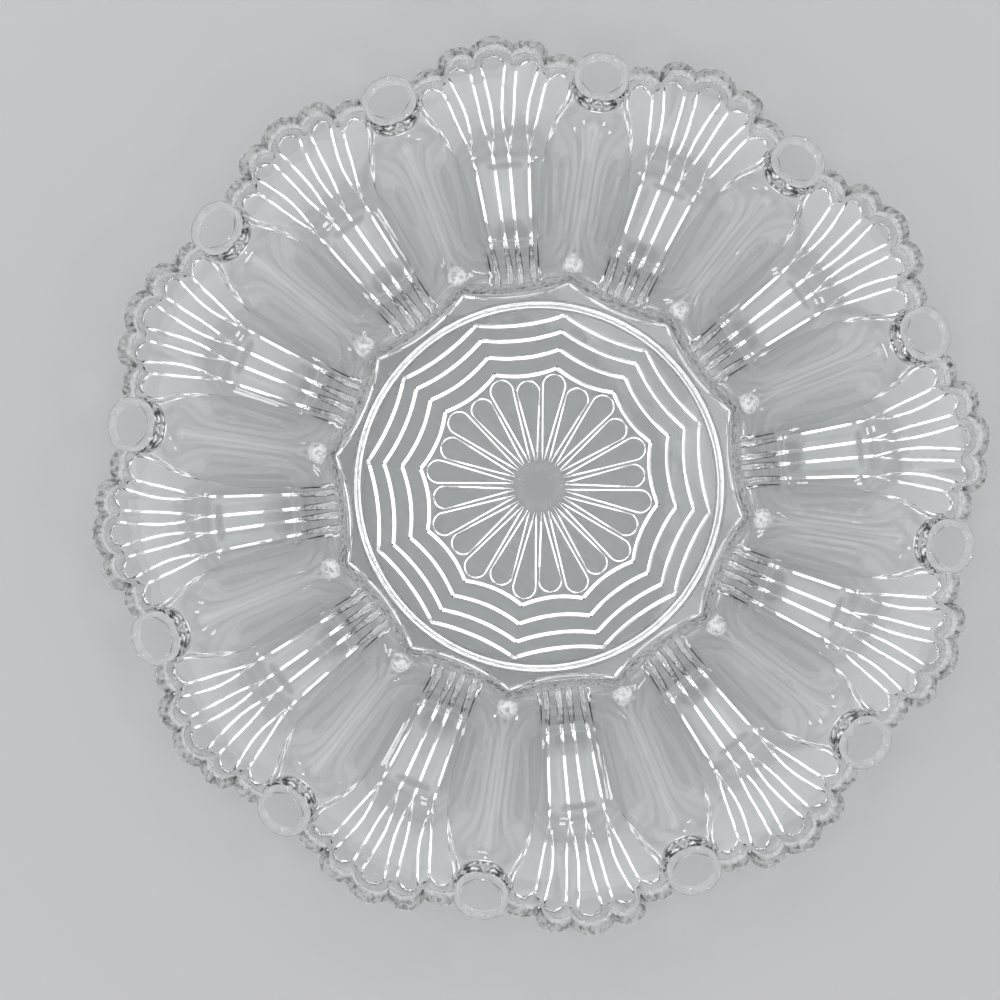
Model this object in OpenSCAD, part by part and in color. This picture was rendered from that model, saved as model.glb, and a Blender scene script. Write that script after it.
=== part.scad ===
/* [Plate] */
// Greatest diameter, over the middle lobes of opposite cups
plate_d = 260; // [245:1:300]
// Height of the highest rim lobe above the table
plate_h = 34; // [31:0.5:42]
// Number of egg cups round the plate
cup_count = 12; // [11:1:13]
// How far the rounded edge of the rim reaches in from the outline
rim_round = 1.6; // [1:0.1:2.2]

/* [Glass thickness] */
// Thickness of the flat centre
floor_t = 5.2; // [4.2:0.1:6]
// Thickness of the step round the centre, measured straight down
border_t = 4.8; // [4:0.1:5.4]
// Thickness of the bottom of a cup
cup_t = 5; // [4:0.1:5.6]
// Thickness of the wall at the rim, measured straight down
rim_t = 5.6; // [4.6:0.1:6.6]

/* [Foot] */
// Radius of the middle of the foot ring
foot_r = 53.7; // [50:0.1:54.5]
// Height of the foot ring
foot_h = 3; // [2.5:0.1:3.8]
// Width of the flat that the plate stands on
foot_w = 2; // [1.5:0.1:3]
// Width of the foot ring where it meets the centre
foot_top_w = 3.4; // [3:0.1:3.6]

/* [Centre pattern] */
// Width of the lines that stand between the scalloped bands
web_line_w = 0.9; // [0.6:0.1:1.4]
// Depth of the scalloped bands in the underside
web_depth = 0.9; // [0.4:0.1:1.5]
// How far a point of a scalloped line stands out past a straight side
web_bow = 1.4; // [0.5:0.1:1.8]
// Width of a petal at its round end
petal_w = 6.4; // [4:0.1:6.6]
// Radius at which the petals start
petal_start_r = 7.4; // [5:0.1:12]
// Depth of the petals in the underside
petal_depth = 0.9; // [0.4:0.1:1.5]

/* [Border step] */
// Radius of the middle of the step, on the axis of a cup
border_r = 59.3; // [58.6:0.1:61]
// How far the step's points stand out past a straight side
border_bow = 2.1; // [1:0.1:2.5]
// Width of the step
step_w = 5; // [4:0.1:5.6]
// Height of the top of the step above the table
border_h = 13.6; // [12:0.1:15]

/* [Egg cups] */
// Height of the inside of a cup's bottom above the table
cup_z = 7.6; // [6.8:0.1:8.4]
// Radius at which a cup's bottom starts
cup_start_r = 75; // [72:0.5:78]
// Radius at which a cup's bottom ends and its wall rises
cup_end_r = 96; // [90:0.5:100]
// Height of the ridge between two cups where it meets the loop
ridge_h = 21.3; // [19:0.1:23]
// Length of the level start of the ridge, which carries the bead
ridge_flat = 4.2; // [3.8:0.1:6]
// Depth of the flutes under the rim
flute_rim = 1.4; // [0.6:0.1:1.8]
// Depth of the flutes under a cup's bottom
flute_floor = 0.8; // [0.3:0.1:1.2]
// Depth of the flutes under the step, which show as short teeth
flute_step = 1.1; // [0.4:0.1:1.4]
// Height of the ribs inside a cup at the rim
rib_rim = 0.8; // [0.2:0.1:1.2]

/* [Rim lobes] */
// How far the middle lobe swells past the valleys beside it
lobe_swell = 2.7; // [1.5:0.1:4]
// How much further in the rim lies at the outermost flutes
shoulder_drop = 3.3; // [2:0.1:4.5]

/* [Loops] */
// Diameter of a loop, between the middles of its round bar
loop_d = 14.9; // [13:0.1:16]
// Diameter of the round bar of a loop
loop_bar_d = 2.3; // [1.8:0.1:2.8]
// Distance of the middle of a loop from the axis of the plate
loop_r = 119.3; // [118:0.1:121]
// Height of the middle of a loop above the table
loop_z = 25.2; // [24:0.1:26.5]
// Lean of a loop from level, in degrees
loop_tilt = 45; // [35:1:55]
// Clearance between a loop and the notch that it sits in
loop_gap = 0.12; // [0.05:0.01:0.3]
// Diameter of the seed on the inner side of a loop
seed_d = 3.8; // [3:0.1:4.6]

/* [Beads] */
// Diameter of a bead
bead_d = 4.6; // [3:0.1:5]
// Height that a bead stands above the ridge
bead_h = 3.2; // [2.5:0.1:4]
// Clearance under a bead
bead_gap = 0.08; // [0.05:0.01:0.15]

/* [Hidden] */

// Radii and heights worked out from the sizes above
plate_r = plate_d / 2;
half_pitch = 180 / cup_count;
floor_z = foot_h + floor_t;
seam_margin = 0.3;
seam_r = foot_r + foot_top_w / 2 + seam_margin;
wall_top_r = plate_r - rim_round;
step_end_r = border_r + step_w / 2;

// Shares that place the rows, the flutes and the lobes
under_step_shares = [-0.36, 0.3];
under_fall_share = 0.824;
top_row_shares = [0.055, 0.123, 0.198, 0.363, 0.513, 0.634, 0.754, 0.874, 1];
under_row_shares = [0.05, 0.11, 0.168, 0.363, 0.513, 0.634, 0.754, 0.874];
flute_inner_shares = [0, 0.1, 0.3, 0.48];
flute_rim_shares = [0, 0.256, 0.744, 1];
flank_inner_shares = [0.25, 0.5, 0.76, 1];
notch_angle_shares = [0.985, 0.7, 0.35, 0];
lobe_swell_shares = [1, 0.95, 0.35];
lobe_base_shares = [0, 0, 1, 1.2];
middle_column_shares = [0.5, 1];
flute_column_shares = [0.25, 0.5, 0.75, 1];
edge_drop_share = 0.38;
edge_inset_share = 0.75;

// Shape of the wall, the ridge and the spread of the flutes
wall_curve = 1.5;
flute_curve = 3;
inner_crest = 2;
rim_crest = 1.25;
loop_slope = 0.85;
border_fade_share = 0.42;
crest_start_share = 0.69;
crest_end_share = 0.91;
spread_start_share = 0.65;
spread_end_share = 0.98;
outer_spread_start_share = 0.62;
outer_spread_end_share = 0.885;
rib_start_share = 0.77;
rib_end_share = 0.955;
turn_share = 0.08;

// Centre pattern: scalloped lines and petals, as shares of the foot's radius
web_shares = [0.905, 0.812, 0.71, 0.603];
petal_end_shares = [0.62, 0.58];
petal_count = 2 * cup_count;
cut_over = 1;

// The notch that holds a loop and its seed
notch_a = (loop_d + loop_bar_d) / 2 + loop_gap;
seed_in = loop_bar_d / 3;
seed_r = loop_r - loop_d / 2 * cos(loop_tilt) - seed_in;
seed_z = loop_z - loop_d / 2 * sin(loop_tilt) - seed_in;
tip_r = seed_r - seed_d / 2 - loop_gap;
notch_b = loop_r - tip_r;
notch_angle = asin(notch_a / loop_r);
notch_side = 0.06;
lobe_end_angle = half_pitch - notch_angle - notch_side;

// The ridge rises gently from its level start, then turns up to the loop
turn_w = turn_share * plate_r;
turn_r = tip_r - turn_w / 2;
level_end_r = step_end_r + ridge_flat;
turn_rise = loop_slope * turn_w / 8;
ridge_slope = (ridge_h - turn_rise - border_h) / (tip_r - level_end_r);

glass_colour = "LightCyan";
trim_colour = "PowderBlue";
glass_alpha = 0.6;
round_fn = 96;
bead_fn = 48;

function cup_name(k) = str("egg_cup_", k < 9 ? "0" : "", k + 1);
function loop_name(k) = str("rim_loop_", k < 9 ? "0" : "", k + 1);

function clip(t) = min(1, max(0, t));
function smooth(t) = clip(t) * clip(t) * (3 - 2 * clip(t));
function mix(a, b, t) = a + (b - a) * t;
// A slope that turns up from level over the width w
function bend_up(x, w) = x < 0 ? 0 : x < w ? x * x / (2 * w) : x - w / 2;

// Circle that draws one side of a scalloped line: its radius and its distance
function arc_radius(trough, bow) =
    let (
        side = trough + bow * cos(half_pitch),
        half = side * tan(half_pitch),
        run = side - trough
    )
    (run * run + half * half) / (2 * run);
// Radius of the scalloped line at the angle a from the axis of a cup
function arc_r(a, trough, bow) =
    let (rho = arc_radius(trough, bow), d = trough + rho)
    d * cos(a) - sqrt(rho * rho - pow(d * sin(a), 2));
function border_at(a) = arc_r(a, border_r, border_bow);

// Radius with the scallops of the border taken out, so that heights follow them
function level_r(r, a) =
    let (border = border_at(a), fade = border_fade_share * border_r)
    r - (border - border_r) * (1 - smooth((r - border) / fade));

// Height inside the plate, along the axis of a cup and along a ridge
function step_up(q) = smooth((q - border_r + step_w / 2) / step_w);
function wall_share(q) = pow(max(0, (q - cup_end_r) / (wall_top_r - cup_end_r)), wall_curve);
function top_axis(q) =
    q < step_end_r
    ? mix(floor_z, border_h, step_up(q))
    : mix(border_h, cup_z, smooth((q - step_end_r) / (cup_start_r - step_end_r)))
        + (plate_h - cup_z) * wall_share(q);
function top_ridge(q) =
    mix(floor_z, border_h, step_up(q))
    + ridge_slope * max(0, q - level_end_r)
    + loop_slope * bend_up(q - turn_r, turn_w);

// Height of the underside, in the same two places
function under_step_r(i) = border_r + under_step_shares[i] * step_w;
function under_step_up(q) = smooth((q - under_step_r(0)) / (under_step_r(1) - under_step_r(0)));
function under_axis(q) =
    q < under_step_r(1)
    ? mix(foot_h, border_h - border_t, under_step_up(q))
    : mix(border_h - border_t, cup_z - cup_t, under_cup_share(q))
        + (plate_h - rim_t - cup_z + cup_t) * wall_share(q);
function under_cup_share(q) =
    let (a = under_step_r(1))
    smooth((q - a) / (under_fall_share * (cup_start_r - a)));
function under_ridge(q) =
    q < step_end_r
    ? mix(foot_h, border_h - border_t, under_step_up(q))
    : top_ridge(q) - mix(border_t, rim_t, (q - step_end_r) / (wall_top_r - step_end_r));

// Share of the ridge's height that a place has: 0 on the axis, 1 on the ridge
function crest(r, a) =
    let (
        t = smooth((r / plate_r - crest_start_share) / (crest_end_share - crest_start_share)),
        power = mix(inner_crest, rim_crest, t)
    )
    pow(sin(90 * pow(abs(a) / half_pitch, power)), 2);

// Depth of a flute's valleys under the glass, and height of the ribs above it
function flute_depth(q) =
    mix(
        mix(0, flute_step, under_step_up(q)),
        mix(flute_floor, flute_rim, smooth((q - cup_end_r) / (wall_top_r - cup_end_r))),
        smooth((q - step_end_r) / (cup_start_r - step_end_r))
    );
function rib_height(q) =
    rib_rim * smooth((q / plate_r - rib_start_share) / (rib_end_share - rib_start_share));
function valley(zone, part) =
    zone == 0 ? pow(part, flute_curve)
    : zone < 3 ? pow(abs(2 * part - 1), flute_curve)
    : 0;

function top_z(r, a, v) =
    let (q = level_r(r, a))
    mix(top_axis(q), top_ridge(q), crest(r, a)) + v * rib_height(q);
function under_z(r, a, v) =
    let (q = level_r(r, a))
    mix(under_axis(q), under_ridge(q), crest(r, a)) + v * flute_depth(q);

// Columns of a cup: the zone between two flute edges, and the part of it
half_columns = concat(
    [for (p = middle_column_shares) [0, p]],
    [for (z = [1, 2], p = flute_column_shares) [z, p]],
    [for (j = [0 : len(flank_inner_shares) - 1]) [3, j]]
);
function spread(r, first, last) =
    pow(clip((r / plate_r - first) / (last - first)), 2);
function edge_angle(i, r) =
    let (
        outer = i == 3,
        first = outer ? outer_spread_start_share : spread_start_share,
        last = outer ? outer_spread_end_share : spread_end_share
    )
    mix(flute_inner_shares[i] * half_pitch, flute_rim_shares[i] * lobe_end_angle,
        spread(r, first, last));
function flank_angle(j, r) =
    mix(
        mix(flute_inner_shares[3], 1, flank_inner_shares[j]) * half_pitch,
        half_pitch - notch_angle_shares[j] * notch_angle,
        spread(r, outer_spread_start_share, outer_spread_end_share)
    );
function column_angle(c, r) =
    c[0] == 3 ? flank_angle(c[1], r) : mix(edge_angle(c[0], r), edge_angle(c[0] + 1, r), c[1]);

// Outline of the rim: lobes on a stepped base, then the notch round the loop
function lobe(zone, part) =
    let (
        t = zone == 0 ? part : 2 * part - 1,
        near = zone == 0 ? -flute_rim_shares[1] : flute_rim_shares[zone],
        wide = (flute_rim_shares[zone + 1] - near) / 2,
        half = plate_r * sin(wide * lobe_end_angle),
        s = lobe_swell * lobe_swell_shares[zone],
        radius = (half * half + s * s) / (2 * s)
    )
    sqrt(radius * radius - pow(t * half, 2)) - (radius - s);
function base_r(zone, part) =
    plate_r - lobe_swell - shoulder_drop * mix(lobe_base_shares[zone], lobe_base_shares[zone + 1], part);
function notch_r(a) =
    let (
        d = half_pitch - a,
        k2 = pow(cos(d) / notch_b, 2) + pow(sin(d) / notch_a, 2),
        k1 = loop_r * cos(d) / (notch_b * notch_b),
        k0 = pow(loop_r / notch_b, 2) - 1
    )
    (k1 - sqrt(k1 * k1 - k2 * k0)) / k2;
function outline_r(c) =
    c[0] == 3 ? notch_r(column_angle(c, plate_r)) : base_r(c[0], c[1]) + lobe(c[0], c[1]);

// One column of points, from the seam up to the rim and back underneath
function column_point(c, side, r, z) =
    let (a = side * column_angle(c, r))
    [r * cos(a), r * sin(a), z];
function column(c, side) =
    let (
        out = outline_r(c),
        a = column_angle(c, border_r),
        border = border_at(a),
        v = c[0] == 3 ? 0 : valley(c[0], c[1]),
        seam = seam_r / cos(a),
        start = border + step_w / 2,
        edge_r = out - rim_round,
        low_r = out - edge_inset_share * rim_round,
        top_rs = concat(
            [seam, border - step_w / 2, border, start],
            [for (s = top_row_shares) mix(start, edge_r, s)]
        ),
        under_rs = concat(
            [low_r],
            [for (j = [len(under_row_shares) - 1 : -1 : 0]) mix(start, low_r, under_row_shares[j])],
            [border + under_step_shares[1] * step_w, border + under_step_shares[0] * step_w, seam]
        ),
        edge_z = mix(top_z(edge_r, column_angle(c, edge_r), v),
            under_z(low_r, column_angle(c, low_r), v), edge_drop_share)
    )
    concat(
        [for (r = top_rs) column_point(c, side, r, top_z(r, column_angle(c, r), v))],
        [column_point(c, side, out, edge_z)],
        [for (r = under_rs) column_point(c, side, r, under_z(r, column_angle(c, r), v))]
    );

// The columns from one ridge to the other, with the axis of the cup between
cup_columns = concat(
    [for (i = [len(half_columns) - 1 : -1 : 0]) column(half_columns[i], -1)],
    [column([0, 0], 1)],
    [for (c = half_columns) column(c, 1)]
);
cup_rows = len(cup_columns[0]);
cup_last = len(cup_columns) - 1;
function at(i, j) = i * cup_rows + j % cup_rows;

module egg_cup(k) {
    color(glass_colour, glass_alpha)
        rotate([0, 0, 2 * half_pitch * k])
            polyhedron(
                points = [for (line = cup_columns, p = line) p],
                faces = concat(
                    [for (i = [0 : cup_last - 1], j = [0 : cup_rows - 1])
                        [at(i, j), at(i + 1, j + 1), at(i, j + 1)]],
                    [for (i = [0 : cup_last - 1], j = [0 : cup_rows - 1])
                        [at(i, j), at(i + 1, j), at(i + 1, j + 1)]],
                    [[for (j = [0 : cup_rows - 1]) at(0, j)]],
                    [[for (j = [cup_rows - 1 : -1 : 0]) at(cup_last, j)]]
                )
            );
}

// Area inside a scalloped line, grown or shrunk by half a line's width
module web_area(share, grow) {
    trough = share * foot_r;
    rho = arc_radius(trough, web_bow);
    difference() {
        circle(r = (trough + web_bow) / cos(half_pitch), $fn = round_fn);
        for (k = [0 : cup_count - 1])
            rotate(2 * half_pitch * k)
                translate([trough + rho, 0])
                    circle(r = rho - grow, $fn = round_fn);
    }
}

// One petal lies along +X: a narrow wedge with a round outer end
module petal(end_r) {
    round_x = end_r - petal_w / 2;
    polygon([[petal_start_r, 0], [round_x, -petal_w / 2], [round_x, petal_w / 2]]);
    translate([round_x, 0])
        circle(d = petal_w, $fn = bead_fn);
}

module centre_panel() {
    color(glass_colour, glass_alpha)
        difference() {
            translate([0, 0, foot_h])
                rotate([0, 0, half_pitch])
                    cylinder(r = seam_r / cos(half_pitch), h = floor_t, $fn = cup_count);
            translate([0, 0, foot_h - cut_over])
                linear_extrude(cut_over + web_depth)
                    for (i = [0 : len(web_shares) - 2])
                        difference() {
                            web_area(web_shares[i], -web_line_w / 2);
                            web_area(web_shares[i + 1], web_line_w / 2);
                        }
            translate([0, 0, foot_h - cut_over])
                linear_extrude(cut_over + petal_depth)
                    for (i = [0 : petal_count - 1])
                        rotate(half_pitch * i)
                            petal(petal_end_shares[(i + 1) % 2] * foot_r);
        }
}

module foot_ring() {
    color(trim_colour, glass_alpha)
        rotate_extrude($fn = round_fn)
            translate([foot_r, 0])
                polygon([
                    [-foot_w / 2, 0],
                    [foot_w / 2, 0],
                    [foot_top_w / 2, foot_h],
                    [-foot_top_w / 2, foot_h]
                ]);
}

// A ring that leans back over the end of the ridge, with a seed on its low side
module rim_loop(k) {
    color(trim_colour, glass_alpha)
        rotate([0, 0, 2 * half_pitch * (k + 1 / 2)]) {
            translate([loop_r, 0, loop_z])
                rotate([0, -loop_tilt, 0])
                    rotate_extrude($fn = round_fn)
                        translate([loop_d / 2, 0])
                            circle(d = loop_bar_d, $fn = bead_fn);
            translate([seed_r, 0, seed_z])
                sphere(d = seed_d, $fn = bead_fn);
        }
}

// A dome with a flat underside on the level start of each ridge
module bead() {
    radius = (bead_h * bead_h + bead_d * bead_d / 4) / (2 * bead_h);
    rotate_extrude($fn = bead_fn)
        intersection() {
            translate([0, bead_h - radius])
                circle(r = radius, $fn = bead_fn);
            square([bead_d, bead_h]);
        }
}

module pocket_beads() {
    bead_r = border_at(half_pitch) + step_w / 2 + bead_d / 6;
    color(trim_colour, glass_alpha)
        for (k = [0 : cup_count - 1])
            rotate([0, 0, 2 * half_pitch * (k + 1 / 2)])
                translate([bead_r, 0, border_h + bead_gap])
                    bead();
}

centre_panel();
foot_ring();
for (k = [0 : cup_count - 1]) {
    egg_cup(k);
    rim_loop(k);
}
pocket_beads();
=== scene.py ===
"""A deviled egg platter of clear pressed glass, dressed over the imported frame.

The plate is one continuous piece of glass. Its surface is worked out as two grids of rows and
columns. The first runs from the edge of the flat centre, out over the cups, round the rim and
back underneath to the foot ring. The second is the pattern under the flat centre. Loops, seeds
and beads are joined to them.
"""

import logging
import math
from dataclasses import dataclass, field, replace
from enum import IntEnum

import bpy
import numpy as np
from mathutils import Matrix, Vector


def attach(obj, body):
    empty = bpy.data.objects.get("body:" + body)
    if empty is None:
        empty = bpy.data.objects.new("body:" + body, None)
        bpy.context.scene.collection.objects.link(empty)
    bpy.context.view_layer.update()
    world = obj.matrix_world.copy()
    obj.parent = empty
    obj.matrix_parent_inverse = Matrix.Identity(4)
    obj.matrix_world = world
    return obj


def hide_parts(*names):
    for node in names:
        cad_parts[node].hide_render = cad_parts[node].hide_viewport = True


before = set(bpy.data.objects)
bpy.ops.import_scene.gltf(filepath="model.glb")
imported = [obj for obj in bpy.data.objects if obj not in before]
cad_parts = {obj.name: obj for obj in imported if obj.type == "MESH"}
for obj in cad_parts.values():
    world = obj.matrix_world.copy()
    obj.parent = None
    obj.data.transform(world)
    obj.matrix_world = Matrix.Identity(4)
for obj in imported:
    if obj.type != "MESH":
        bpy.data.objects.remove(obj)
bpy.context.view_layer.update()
LOG = logging.getLogger("egg_platter")
BODY = "root"
# Name of the mark for the opaque white patches: frost on the rim and the foot, and painted highlights
# on the border, the ribs' starts and the beads.
FROST_AND_HIGHLIGHT = "frost_and_highlight"
MM = 0.001

Row = tuple[np.ndarray, np.ndarray, np.ndarray]
Shape = tuple[np.ndarray, list[np.ndarray]]


def smooth(t: np.ndarray) -> np.ndarray:
    """Eases from 0 to 1: 3t^2 - 2t^3, held at 0 and 1 outside."""
    t = np.clip(t, 0.0, 1.0)
    return t * t * (3.0 - 2.0 * t)


def mix(a: np.ndarray, b: np.ndarray, t: np.ndarray) -> np.ndarray:
    """The value a share t of the way from a to b."""
    return a + (b - a) * t


def ramp(x: np.ndarray, first: float, last: float) -> np.ndarray:
    """How far x is from first to last, held at 0 and 1 outside."""
    return np.clip((x - first) / (last - first), 0.0, 1.0)


def bend_up(x: np.ndarray, width: float) -> np.ndarray:
    """Level, then a slope of 1 that is reached over the width: x^2 / 2w, then x - w / 2."""
    x = np.maximum(x, 0.0)
    return np.where(x < width, x * x / (2.0 * width), x - width / 2.0)


def round_points(r: np.ndarray, z: np.ndarray, a: np.ndarray) -> np.ndarray:
    """Places in metres, at radius r, height z and angle a: r cos a, r sin a and z."""
    turn = np.radians(a)
    return np.stack([r * np.cos(turn), r * np.sin(turn), z], axis=-1) * MM


def shares(*values: float) -> np.ndarray:
    """A dataclass field that holds an array."""
    return field(default_factory=lambda: np.array(values))


@dataclass(frozen=True)
class PlateSizes:
    """Driving sizes of the plate, in millimetres, as the frame has them."""

    plate_r: float = 130.0
    plate_h: float = 34.0
    cup_count: int = 12
    rim_round: float = 1.6
    floor_t: float = 5.2
    border_t: float = 4.8
    cup_t: float = 5.0
    rim_t: float = 5.6
    foot_r: float = 53.7
    foot_h: float = 3.0
    foot_w: float = 2.0
    foot_top_w: float = 3.4
    border_r: float = 59.3
    border_bow: float = 2.1
    step_w: float = 5.0
    border_h: float = 13.6
    cup_z: float = 7.6
    cup_start_r: float = 75.0
    cup_end_r: float = 96.0
    ridge_h: float = 21.3
    ridge_flat: float = 4.2
    lobe_swell: float = 2.7
    shoulder_drop: float = 3.3

    @property
    def half_pitch(self) -> float:
        """Angle in degrees from the axis of a cup to the ridge beside it."""
        return 180.0 / self.cup_count

    @property
    def floor_z(self) -> float:
        """Height of the inside of the flat centre."""
        return self.foot_h + self.floor_t

    @property
    def wall_top_r(self) -> float:
        """Radius at which the wall reaches its full height."""
        return self.plate_r - self.rim_round

    @property
    def step_end_r(self) -> float:
        """Radius at which the step has reached its top, on the axis of a cup."""
        return self.border_r + self.step_w / 2.0

    def off_axis(self, a: np.ndarray) -> np.ndarray:
        """Angle between the angle a and the axis of the nearest cup, without its sign."""
        return np.abs((a + self.half_pitch) % (2.0 * self.half_pitch) - self.half_pitch)


@dataclass(frozen=True)
class LoopSizes:
    """Sizes of a rim loop and its seed, in millimetres and degrees."""

    ring_d: float = 14.2
    bar_d: float = 2.7
    centre_r: float = 119.45
    centre_z: float = 25.2
    tilt: float = 43.0
    sunk: float = 0.75
    seed: tuple[float, float, float] = (1.5, 1.9, 1.3)
    seed_in: float = 2.2
    seed_up: float = 0.35

    @property
    def low_r(self) -> float:
        """Distance from the axis of the plate to the middle of the bar on its low side."""
        return self.centre_r - self.ring_d / 2.0 * math.cos(math.radians(self.tilt))

    @property
    def notch_a(self) -> float:
        """Half of the notch's width, so that the glass ends inside the ring's bar."""
        return (self.ring_d + self.bar_d) / 2.0 - self.sunk

    @property
    def notch_b(self) -> float:
        """How far the notch reaches inwards from the middle of the ring."""
        return self.centre_r - self.low_r + self.bar_d / 2.0 - self.sunk


@dataclass(frozen=True)
class RibSizes:
    """Ribs in the underside between the flat flutes, in millimetres.

    A rib is a narrow ridge in the cup. On the wall it is wider and has a groove along its middle.
    """

    border_half: float = 1.0
    floor_half: float = 0.4
    rim_half: float = 2.15
    side_w: float = 0.52
    floor_h: float = 0.485
    rim_h: float = 0.71
    groove: float = 0.65
    border_span: tuple[float, float] = (64.0, 76.0)
    least_half: float = 0.052
    least_shares: tuple[float, float] = (0.06, 0.03)
    top_h: float = 0.3
    half_shares: tuple[float, ...] = (0.0, 1.0, 1.0, 0.5)
    grow_span: tuple[float, float] = (0.746, 0.862)


@dataclass(frozen=True)
class ScallopedLine:
    """A line round the plate that is made of one arc a cup, with its points at the ridges.

    The trough is its radius on the axis of a cup, and the bow is how far a point stands out past
    a straight side. The half pitch is the angle from the axis of a cup to a point, in degrees.
    """

    trough: float
    bow: float
    half_pitch: float
    slope_step: float = 0.5

    @property
    def rho(self) -> float:
        """Radius of the circle that draws one side: (run^2 + half^2) / 2 run."""
        side = self.trough + self.bow * math.cos(math.radians(self.half_pitch))
        half = side * math.tan(math.radians(self.half_pitch))
        run = side - self.trough
        return (run * run + half * half) / (2.0 * run)

    def radius(self, a: np.ndarray) -> np.ndarray:
        """Radius at the angle a: d cos a - sqrt(rho^2 - (d sin a)^2), d being trough + rho."""
        a, rho = np.radians(a), self.rho
        centre = self.trough + rho
        return centre * np.cos(a) - np.sqrt(rho**2 - (centre * np.sin(a)) ** 2)

    def longer(self, r: np.ndarray, a: np.ndarray) -> np.ndarray:
        """How much longer a step across the line is along the radius r: sqrt(1 + slope^2)."""
        slope = (r - self.radius(a - self.slope_step)) / (r * np.radians(self.slope_step))
        return np.hypot(1.0, slope)


@dataclass
class GlassSection:
    """Heights of the top and the underside of the glass, from the sizes of the plate."""

    s: PlateSizes
    loop: LoopSizes
    inner_crest: float = 2.0
    rim_crest: float = 1.25
    wall_curve: float = 1.5
    crest_span: tuple[float, float] = (0.69, 0.91)
    under_step_shares: tuple[float, float] = (-0.36, 0.3)
    under_fall_share: float = 0.824
    border_fade_share: float = 0.42
    loop_slope: float = 0.85
    turn_share: float = 0.08
    ridge_reach: float = 2.8

    def __post_init__(self) -> None:
        """Works out the border, and where the ridge turns up to the loop."""
        s = self.s
        self.border = ScallopedLine(s.border_r, s.border_bow, s.half_pitch)
        tip_r = self.loop.low_r - self.ridge_reach
        self.turn_w = self.turn_share * s.plate_r
        self.turn_r = tip_r - self.turn_w / 2.0
        self.level_end_r = s.step_end_r + s.ridge_flat
        rise = self.loop_slope * bend_up(tip_r - self.turn_r, self.turn_w)
        self.ridge_slope = (s.ridge_h - rise - s.border_h) / (tip_r - self.level_end_r)

    def level_r(self, r: np.ndarray, a: np.ndarray) -> np.ndarray:
        """Radius with the scallops of the border taken out, so that heights follow them."""
        border = self.border.radius(a)
        fade = self.border_fade_share * self.s.border_r
        return r - (border - self.s.border_r) * (1.0 - smooth((r - border) / fade))

    def wall_share(self, q: np.ndarray) -> np.ndarray:
        """Share of the wall's height: the distance past the cup's bottom, to a power."""
        s = self.s
        run = np.maximum(q - s.cup_end_r, 0.0) / (s.wall_top_r - s.cup_end_r)
        return run**self.wall_curve

    def step_up(self, q: np.ndarray) -> np.ndarray:
        """Share of the step's height on the top of the glass."""
        s = self.s
        return smooth((q - s.border_r + s.step_w / 2.0) / s.step_w)

    def top_axis(self, q: np.ndarray) -> np.ndarray:
        """Top along a cup's axis: floor, step up, down into the cup, then up the wall."""
        s = self.s
        down = smooth(ramp(q, s.step_end_r, s.cup_start_r))
        rise = mix(s.floor_z, s.border_h, self.step_up(q))
        cup = mix(s.border_h, s.cup_z, down) + (s.plate_h - s.cup_z) * self.wall_share(q)
        return np.where(q < s.step_end_r, rise, cup)

    def top_ridge(self, q: np.ndarray) -> np.ndarray:
        """Top along a ridge: step up, level, a gentle slope, then up to the loop."""
        s = self.s
        slope = self.ridge_slope * np.maximum(q - self.level_end_r, 0.0)
        turn = self.loop_slope * bend_up(q - self.turn_r, self.turn_w)
        return mix(s.floor_z, s.border_h, self.step_up(q)) + slope + turn

    def under_step_r(self, i: int) -> float:
        """Radius at which the step in the underside starts (0) or ends (1)."""
        return self.s.border_r + self.under_step_shares[i] * self.s.step_w

    def under_step_up(self, q: np.ndarray) -> np.ndarray:
        """Share of the step's height on the underside."""
        return smooth(ramp(q, self.under_step_r(0), self.under_step_r(1)))

    def under_axis(self, q: np.ndarray) -> np.ndarray:
        """Underside along a cup's axis: up the step, down to the cup, then up the wall."""
        s = self.s
        a = self.under_step_r(1)
        crease = s.border_h - s.border_t
        rise = mix(s.foot_h, crease, self.under_step_up(q))
        fall = smooth((q - a) / (self.under_fall_share * (s.cup_start_r - a)))
        wall = (s.plate_h - s.rim_t - s.cup_z + s.cup_t) * self.wall_share(q)
        return np.where(q < a, rise, mix(crease, s.cup_z - s.cup_t, fall) + wall)

    def under_ridge(self, q: np.ndarray) -> np.ndarray:
        """Underside along a ridge: the step, then the top less the glass."""
        s = self.s
        rise = mix(s.foot_h, s.border_h - s.border_t, self.under_step_up(q))
        t = (q - s.step_end_r) / (s.wall_top_r - s.step_end_r)
        return np.where(q < s.step_end_r, rise, self.top_ridge(q) - mix(s.border_t, s.rim_t, t))

    def crest(self, r: np.ndarray, a: np.ndarray) -> np.ndarray:
        """Share of the ridge's height: the sine of (a / half pitch)^p, squared."""
        t = smooth(ramp(r / self.s.plate_r, *self.crest_span))
        power = mix(self.inner_crest, self.rim_crest, t)
        share = np.clip(np.abs(a) / self.s.half_pitch, 0.0, 1.0)
        return np.sin(np.pi / 2.0 * share**power) ** 2

    def top(self, r: np.ndarray, a: np.ndarray) -> np.ndarray:
        """Height of the top at radius r and angle a from the cup's axis."""
        q = self.level_r(r, a)
        return mix(self.top_axis(q), self.top_ridge(q), self.crest(r, a))

    def under(self, r: np.ndarray, a: np.ndarray) -> np.ndarray:
        """Height of the underside, without its ribs, at radius r and angle a."""
        q = self.level_r(r, a)
        return mix(self.under_axis(q), self.under_ridge(q), self.crest(r, a))


class Zone(IntEnum):
    """Parts of half a cup, from its axis to the ridge."""

    MIDDLE_FLUTE = 0
    SECOND_FLUTE = 1
    OUTER_FLUTE = 2
    FLANK = 3


class Spot(IntEnum):
    """Where a column runs in its zone: on the flat, or on the rib at either side of it."""

    RIB_BEFORE = 0
    FLAT = 1
    RIB_AFTER = 2


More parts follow.
